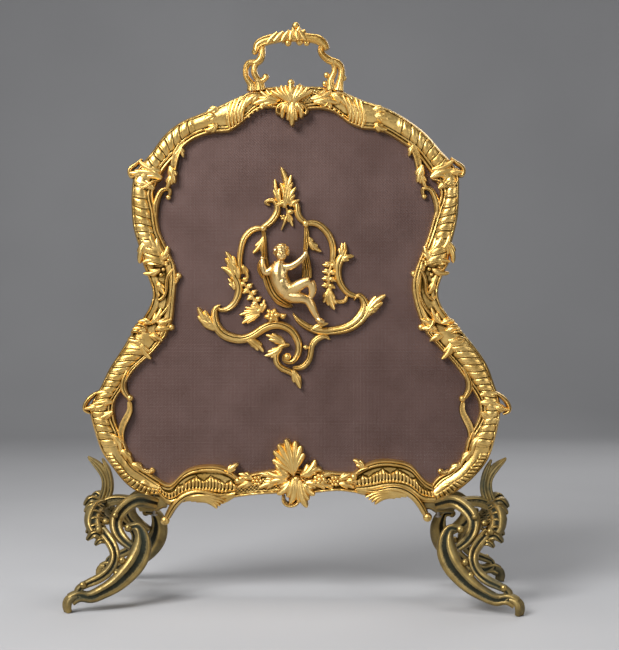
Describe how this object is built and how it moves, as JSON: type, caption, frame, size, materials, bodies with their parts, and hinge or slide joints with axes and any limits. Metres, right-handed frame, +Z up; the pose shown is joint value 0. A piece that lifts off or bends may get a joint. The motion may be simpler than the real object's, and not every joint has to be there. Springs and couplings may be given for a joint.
{
  "type": "fireplace screen",
  "caption": "Free-standing gilt-bronze fireplace screen with a woven wire panel in a scrolled frame, a figure medallion, a carrying handle and four scroll feet.",
  "frame": {"origin": "on the floor, at the centre of the box round the whole screen", "axes": "-Y towards the viewer in front of the screen, +X to the right seen from the front, +Z up"},
  "size_m": [0.5702, 0.2376, 0.744],
  "materials": {
    "gilt_bronze": "fire-gilt, burnished on the ridges and dark brown in the hollows",
    "aged_gilt_bronze": "worn gilding with green-brown patina",
    "woven_wire": "dark brown, matt",
    "plain_brass": "dull, unpolished",
    "steel_fasteners": "dull"
  },
  "bodies": {
    "root": {"back_strip_bottom": "plain_brass", "back_strip_left_lower": "plain_brass", "back_strip_left_upper": "plain_brass", "back_strip_right_lower": "plain_brass", "back_strip_right_upper": "plain_brass", "back_strip_top": "plain_brass", "block_screws": "steel_fasteners", "bottom_rail": "gilt_bronze", "bottom_shell": "gilt_bronze", "handle": "gilt_bronze", "handle_finial": "gilt_bronze", "handle_studs": "steel_fasteners", "left_front_leg": "aged_gilt_bronze", "left_hip_rail": "gilt_bronze", "left_horn": "aged_gilt_bronze", "left_leg_block": "aged_gilt_bronze", "left_lower_branch": "gilt_bronze", "left_rear_leg": "aged_gilt_bronze", "left_shell_rail": "gilt_bronze", "left_shoulder_rail": "gilt_bronze", "left_upper_branch": "gilt_bronze", "left_waist_rail": "gilt_bronze", "leg_studs": "steel_fasteners", "medallion_flame": "gilt_bronze", "medallion_garland": "gilt_bronze", "medallion_leaf_spray": "gilt_bronze", "medallion_lower_left_scroll": "gilt_bronze", "medallion_lower_right_scroll": "gilt_bronze", "medallion_nuts": "steel_fasteners", "medallion_studs": "steel_fasteners", "medallion_upper_left_scroll": "gilt_bronze", "medallion_upper_right_scroll": "gilt_bronze", "medallion_volute": "gilt_bronze", "medallion_washers": "steel_fasteners", "putto": "gilt_bronze", "putto_stud": "steel_fasteners", "right_front_leg": "aged_gilt_bronze", "right_hip_rail": "gilt_bronze", "right_horn": "aged_gilt_bronze", "right_leg_block": "aged_gilt_bronze", "right_lower_branch": "gilt_bronze", "right_rear_leg": "aged_gilt_bronze", "right_shell_rail": "gilt_bronze", "right_shoulder_rail": "gilt_bronze", "right_upper_branch": "gilt_bronze", "right_waist_rail": "gilt_bronze", "strip_screws": "steel_fasteners", "swing_left_cloth": "gilt_bronze", "swing_right_cloth": "gilt_bronze", "top_palmette": "gilt_bronze", "top_rail": "gilt_bronze", "wire_mesh": "woven_wire"}
  },
  "joints": []
}
